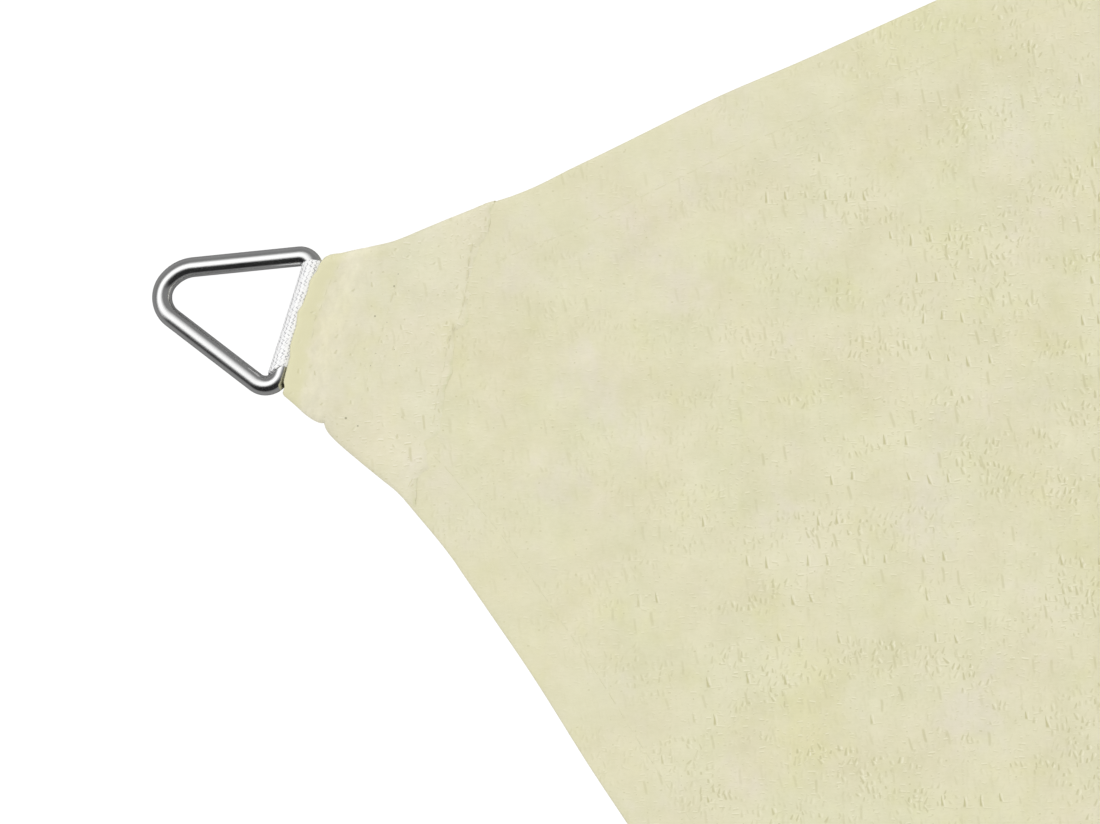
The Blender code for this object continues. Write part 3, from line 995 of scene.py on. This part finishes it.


# The weave of the strap: zigzag rows with painted shade in the gaps between them, and painted shade in uneven
# lines across its front, where the loop turns down.
weaveLook = {
    "yarn": (0.99, 0.99, 0.99),
    "gapShade": (0.44, 0.44, 0.455),
    "line": (0.28, 0.28, 0.29),  # painted shade: dark lines between the rows, where the loop turns down at its front
    "wander": (0.9, 0.7),
    "gapShadeFrom": (0.355, 0.42),
    "lineFrom": (0.33, 0.38),
    "patchyDark": (0.36, 0.52),
    "relief": 0.01 * mm,
}


def makeWebbingMaterial():
    material, tree, shader = newMaterial("whiteWebbing", 0.55, 0.35)
    x, y, _ = splitXyz(weavePlace(tree))  # millimetres across and along the strap
    x = noiseAt(joinXyz(x, y), 0.9) * weaveLook["wander"][0] + x
    y = noiseAt(joinXyz(x, y, 5.0), 0.7) * weaveLook["wander"][1] + y
    column = x / strap["yarnPitch"]
    row = column.math("PINGPONG", 0.5) * strap["zigzag"] + y / strap["rowPitch"]
    fromRow = abs(row.math("FRACT") - 0.5)
    dice = diceAt(joinXyz((column * 2.0).math("FLOOR"), row.math("ROUND")))
    # painted shade in the gaps between the rows
    between = fromRow.fade(*weaveLook["gapShadeFrom"])
    patchyDark = noiseAt(joinXyz(x, y, 9.0), 0.35).fade(*weaveLook["patchyDark"])
    # painted shade: uneven dark lines across the front, where the loop turns down
    lines = fromRow.fade(*weaveLook["lineFrom"]) * readAttribute(tree, "frontShade") * patchyDark
    color = (between * dice[0].fade(0.0, 0.5, 0.2, 1.0)).between(weaveLook["yarn"], weaveLook["gapShade"])
    color = lines.between(color, weaveLook["line"])
    feed(shader, {"Base Color": color, "Normal": bump(1.0 - between, weaveLook["relief"])})
    return material


webbingMaterial = makeWebbingMaterial()


def buildWebbing(corner):
    path = strapPath()
    leftEdge, rightEdge = (smoothCurve([(row[0], row[side]) for row in strapEdgeRows]) for side in (1, 2))
    columns, (rideStart, rideEnd) = strap["columns"], strap["ride"]
    points, uvs, frontShade = [], [], []
    along = 0.0
    before = path[0]
    for x, z, degrees in path:
        along += math.hypot(x - before[0], z - before[1])
        before = (x, z)
        left, right = float(leftEdge(degrees)), float(rightEdge(degrees))
        for column in range(columns):
            part = column / (columns - 1)
            y = right + (left - right) * part
            lift = 0.0
            if rideStart < degrees < rideEnd and abs(y) > strap["rideFrom"]:
                top = wireTop(x, y)
                if top is not None and top + strap["thick"] / 2 > z:
                    lift = top + strap["thick"] / 2 - z
                lift *= softStep(degrees, *strap["rideEnd"])
            weave = math.sin(y * math.pi / strap["yarnPitch"]) * math.sin(along * math.pi / strap["rowPitch"])
            away = 1 + strap["relief"] * weave / strap["radius"] if 60 < degrees < 270 else 1
            points.append((x * away, y, z * away + lift))
            uvs.append((y - (left + right) / 2 + strap["uvShift"], along))
            # where the painted shade lies: the front of the loop as it turns down
            frontShade.append(float(softStep(degrees, 138, 160)))
    place = barMatrix(corner)
    points = [place @ (Vector(point) * mm) for point in points]
    piece = makePiece(f"webbingLoop{corner}", points, gridFaces(len(path), columns), webbingMaterial,
                      [("frontShade", frontShade)], uvs)
    return thicken(piece, strap["thick"] * mm)


webbings = {}
for corner in corners:
    webbings[corner] = buildWebbing(corner)
    enter(webbings[corner], f"webbing_{corner}")
print("webbing made:", len(webbings[1].data.polygons), "faces each")


# The ring: bent wire, polished bright, with fine drawing marks along it.
steelLook = {
    "dull": (0.80, 0.80, 0.80),
    "bright": (0.90, 0.90, 0.895),
    "gloss": (0.3, 0.75, 0.14, 0.2),
    "marks": 0.010 * mm,
}


def makeSteelMaterial():
    material, tree, shader = newMaterial("polishedSteel", 0.1, 0.5, 1.0)
    place = objectPlace(tree)
    cloudy = noiseAt(place, 160.0, 3.0, 0.6)
    color = cloudy.between(steelLook["dull"], steelLook["bright"])
    normal = bump(noiseAt(place, 2600.0), steelLook["marks"])
    feed(shader, {"Base Color": color, "Roughness": cloudy.fade(*steelLook["gloss"]), "Normal": normal})
    return material


steelMaterial = makeSteelMaterial()


def buildRing(corner):
    ring = drawCurve(f"ring{corner}", [ringLine()], closed=True)
    ring.data.bevel_depth = ringSizes["wire"] / 2
    ring.data.bevel_resolution = ringSizes["sides"] // 2 - 2
    ring.data.materials.append(steelMaterial)
    tilt = -math.asin((bar["up"] - ringSizes["noseHeight"]) / ringSizes["length"])
    ring.matrix_world = barMatrix(corner) @ Matrix.Rotation(tilt, 4, "Y")
    bpy.context.view_layer.update()
    ring = settle(ring)
    ring.data.shade_smooth()
    return ring


for corner in corners:
    ring = buildRing(corner)
    enter(ring, f"ring_{corner}")
print("rings made:", len(ring.data.polygons), "faces each")

# Stitch rows: threads laid along a path by Geometry Nodes. Millimetres.
stitches = {
    "hem": {"pitch": 4.4, "length": 3.4, "thread": 0.16},
    "patch": {"pitch": 3.4, "length": 2.5, "thread": 0.15},
    "hemMarks": 700,
    "patchMarks": 60,
    "lipShare": 0.9,  # how closely the mouth's row follows its lip
    "sunk": 0.03,     # a row's depth in the patch
    "flat": 0.6,      # a thread's height, as a share of its width
    "least": (0.8, 0.8, 0.8),
    "most": (1.12, 1.15, 1.1),
    "seed": 11,
}


def makeStitchTree():
    inputs = {"Path": "Geometry", "Pitch": "Float", "Stitch Length": "Float", "Thread Radius": "Float",
              "Seed": "Int", "Thread": "Material"}
    tree, given, out = makeTree("stitchRow", "GeometryNodeTree", inputs, {"Stitches": "Geometry"})
    radius = given["Thread Radius"]
    size = joinXyz(given["Stitch Length"] * 0.5, radius, radius * stitches["flat"])
    inputs = {"Curve": given["Path"], "Length": given["Pitch"]}
    spaced = addNode(tree, "GeometryNodeResampleCurve", inputs, mode="LENGTH")
    tangent = addNode(tree, "GeometryNodeInputTangent")
    aligned = addNode(tree, "FunctionNodeAlignRotationToVector", {"Vector": tangent}, axis="X")
    sphere = addNode(tree, "GeometryNodeMeshUVSphere", {"Segments": 8, "Rings": 5, "Radius": 1.0})
    shaped = addNode(tree, "GeometryNodeTransform", {"Geometry": sphere, "Scale": size})
    inputs = {"Min": stitches["least"], "Max": stitches["most"], "Seed": given["Seed"]}
    uneven = addNode(tree, "FunctionNodeRandomValue", inputs, data_type="FLOAT_VECTOR")
    inputs = {"Points": spaced, "Instance": shaped, "Rotation": aligned, "Scale": uneven}
    placed = addNode(tree, "GeometryNodeInstanceOnPoints", inputs)
    real = addNode(tree, "GeometryNodeRealizeInstances", {0: placed})
    smooth = addNode(tree, "GeometryNodeSetShadeSmooth", {0: real})
    finish = addNode(tree, "GeometryNodeSetMaterial", {"Geometry": smooth, "Material": given["Thread"]})
    feed(out, {0: finish})
    return tree


stitchTree = makeStitchTree()


def stitchRows(name, paths, sizes):
    rows = drawCurve(name, paths)
    nodes = rows.modifiers.new("stitches", "NODES")
    nodes.node_group = stitchTree
    values = {
        "Pitch": sizes["pitch"] * mm, "Stitch Length": sizes["length"] * mm,
        "Thread Radius": sizes["thread"] * mm, "Seed": stitches["seed"], "Thread": threadMaterial,
    }
    for item in stitchTree.interface.items_tree:
        if item.name in values:
            nodes[item.identifier] = values[item.name]
    return settle(rows)


def hemPaths():  # along the four sides, between the patches
    paths = []
    inset = sheetSizes["stitchIn"] * mm / span
    for turns in range(4):
        t = np.linspace(0, 1, stitches["hemMarks"])
        level = np.full(len(t), 1 - inset)
        ends = {0: (t, level), 1: (1 - level, t), 2: (1 - t, 1 - level), 3: (level, 1 - t)}
        x, y = sheetPoint(*ends[turns])
        outside = cornerDistance(x, y) > sheetSizes["stitchFrom"]
        x, y = x[outside], y[outside]
        z = (groundHeight(x, y) + sheetSizes["stitchRise"]) * mm + sail["cloth"]
        paths.append(list(zip(x, y, z)))
    return paths


def patchPaths(corner):  # across the patch: mouth band, webbing tails, inner edge
    place = cornerMatrix(corner)
    rows = (
        # inward at the middle, half width, follows the mouth, follows the inner edge
        (4.4, 15.5, 1.0, 0.0),
        (19.2, 20.0, 0.0, 0.0),
        (36.4, 30.5, 0.0, 1.0),
    )
    paths = []
    for inward, halfWidth, mouth, seam in rows:
        across = np.linspace(-halfWidth, halfWidth, stitches["patchMarks"])
        edge = np.pad(seamInward(across) - patchSizes["end"], 4, "edge")
        steady = np.convolve(edge, np.ones(9) / 9, "valid")
        lip = mouth * lipShift(across) * stitches["lipShare"]
        v = inward - lip + seam * steady
        z = patchTop(v + lip, across) - stitches["sunk"]
        paths.append([place @ (Vector(point) * mm) for point in zip(v, across, z)])
    return paths


hemStitching = stitchRows("hemStitching", hemPaths(), stitches["hem"])
enter(hemStitching, None)
for corner in corners:
    sewn = stitchRows(f"patchStitching{corner}", patchPaths(corner), stitches["patch"])
    enter(sewn, None)
print("stitches made:", len(hemStitching.data.polygons), "faces in the hem")

# Stage: pale floor, soft light from above, camera straight over the first corner.
stage = {
    "focus": (-928.4 * mm, 923.7 * mm),  # the plan point in the middle of the picture
    "frameWidth": 277.8 * mm,
    "lens": 85.0,
    "sensor": 36.0,
    "roll": math.radians(-28.2),
    "floorSize": 80,
    "floorDrop": 0.15 * mm,
    "skyLight": (0.87, 0.87, 0.87),
    "floorBounce": (0.92, 0.92, 0.92),    # the light that the floor gives back to the cloth
    "floorMirrored": (0.26, 0.26, 0.26),  # and what polished metal sees of it
    "floorGlow": 0.97,                    # the white that the camera sees
    "floorShade": (0.1, 0.1, 0.1),        # and how much a shadow darkens it
    "sunLight": 0.53,
    "sunWide": math.radians(20),
    "sunFrom": (math.radians(34), math.radians(120)),  # from the zenith, and round in the picture
}


def makeFloor():
    bpy.ops.mesh.primitive_plane_add(size=stage["floorSize"])
    floor = bpy.context.object
    floor.name = "paleFloor"
    floor.location.z = -stage["floorDrop"]
    material, tree, shader = newMaterial("paleFloor", 0.8, 0.1)
    plug(stage["floorBounce"], shader.inputs["Base Color"])
    seen = addNode(tree, "ShaderNodeEmission", {"Strength": stage["floorGlow"]})
    soft = addNode(tree, "ShaderNodeBsdfDiffuse", {"Color": stage["floorShade"]})
    mirrored = addNode(tree, "ShaderNodeBsdfDiffuse", {"Color": stage["floorMirrored"]})
    both = addNode(tree, "ShaderNodeAddShader", {0: seen, 1: soft})
    path = addNode(tree, "ShaderNodeLightPath").outputs
    inMetal = addNode(tree, "ShaderNodeMixShader", {0: path["Is Glossy Ray"], 1: shader, 2: mirrored})
    inCamera = addNode(tree, "ShaderNodeMixShader", {0: path["Is Camera Ray"], 1: inMetal, 2: both})
    plug(inCamera, tree.nodes["Material Output"].inputs[0])
    floor.data.materials.append(material)


# what polished metal sees overhead, on a map of the sky with the zenith at (0, 0)
studio = {
    "softBox": {"centre": (-0.22, 0.10), "radii": (0.38, 0.20), "turn": math.radians(50), "soft": 0.7},
    "darkCard": {"centre": (-0.06, -0.43), "radii": (0.52, 0.33), "turn": 0.0, "soft": 0.25},
    "boxLight": 1.05,
    "cardDark": 0.93,
    "wall": 0.22,
}


def ovalMask(x, y, oval):  # 1 inside a turned oval
    u, v = turned(x - oval["centre"][0], y - oval["centre"][1], oval["turn"])
    u, v = u / oval["radii"][0], v / oval["radii"][1]
    return (u * u + v * v).math("SQRT").fade(1 + oval["soft"], 1 - oval["soft"])


def makeWorld():  # even white light; polished metal sees a soft box and a dark card
    world = bpy.data.worlds.new("studio")
    bpy.context.scene.world = world
    world.use_nodes = True
    tree = world.node_tree
    sky = Signal(addNode(tree, "ShaderNodeTexCoord"), "Generated")
    turn = {"Vector": sky, "Rotation": (0, 0, -stage["roll"])}
    x, y, z = splitXyz(sky.node("ShaderNodeMapping", turn, vector_type="POINT"))
    below = largest(z + 1.0, 0.02)
    px, py = x / below, y / below
    clear = 1.0 - ovalMask(px, py, studio["darkCard"]) * studio["cardDark"]
    mirrored = (ovalMask(px, py, studio["softBox"]) * studio["boxLight"] + studio["wall"]) * clear
    path = addNode(tree, "ShaderNodeLightPath")
    amount = Signal(path, "Is Glossy Ray").between(stage["skyLight"], mirrored)
    amount = Signal(path, "Is Camera Ray").between(amount, (1.0, 1.0, 1.0))
    plug(amount, tree.nodes["Background"].inputs["Color"])


def makeSun():
    light = bpy.data.lights.new("softSun", "SUN")
    light.energy = stage["sunLight"]
    light.angle = stage["sunWide"]
    sun = addObject("softSun", light)
    sun.visible_glossy = False
    tilt, around = stage["sunFrom"]
    around += stage["roll"]
    toLight = Vector((math.sin(tilt) * math.cos(around), math.sin(tilt) * math.sin(around), math.cos(tilt)))
    sun.rotation_euler = toLight.to_track_quat("Z", "Y").to_euler()


def makeCamera():
    lens = bpy.data.cameras.new("overCorner")
    lens.lens = stage["lens"]
    lens.sensor_width = stage["sensor"]
    lens.clip_start = 0.01
    camera = addObject("overCorner", lens)
    camera.location = (*stage["focus"], stage["frameWidth"] * stage["lens"] / stage["sensor"])
    camera.rotation_euler = (0, 0, stage["roll"])
    bpy.context.scene.camera = camera


makeFloor()
makeWorld()
makeSun()
makeCamera()
bpy.context.scene.view_settings.view_transform = "Standard"
print("stage set")
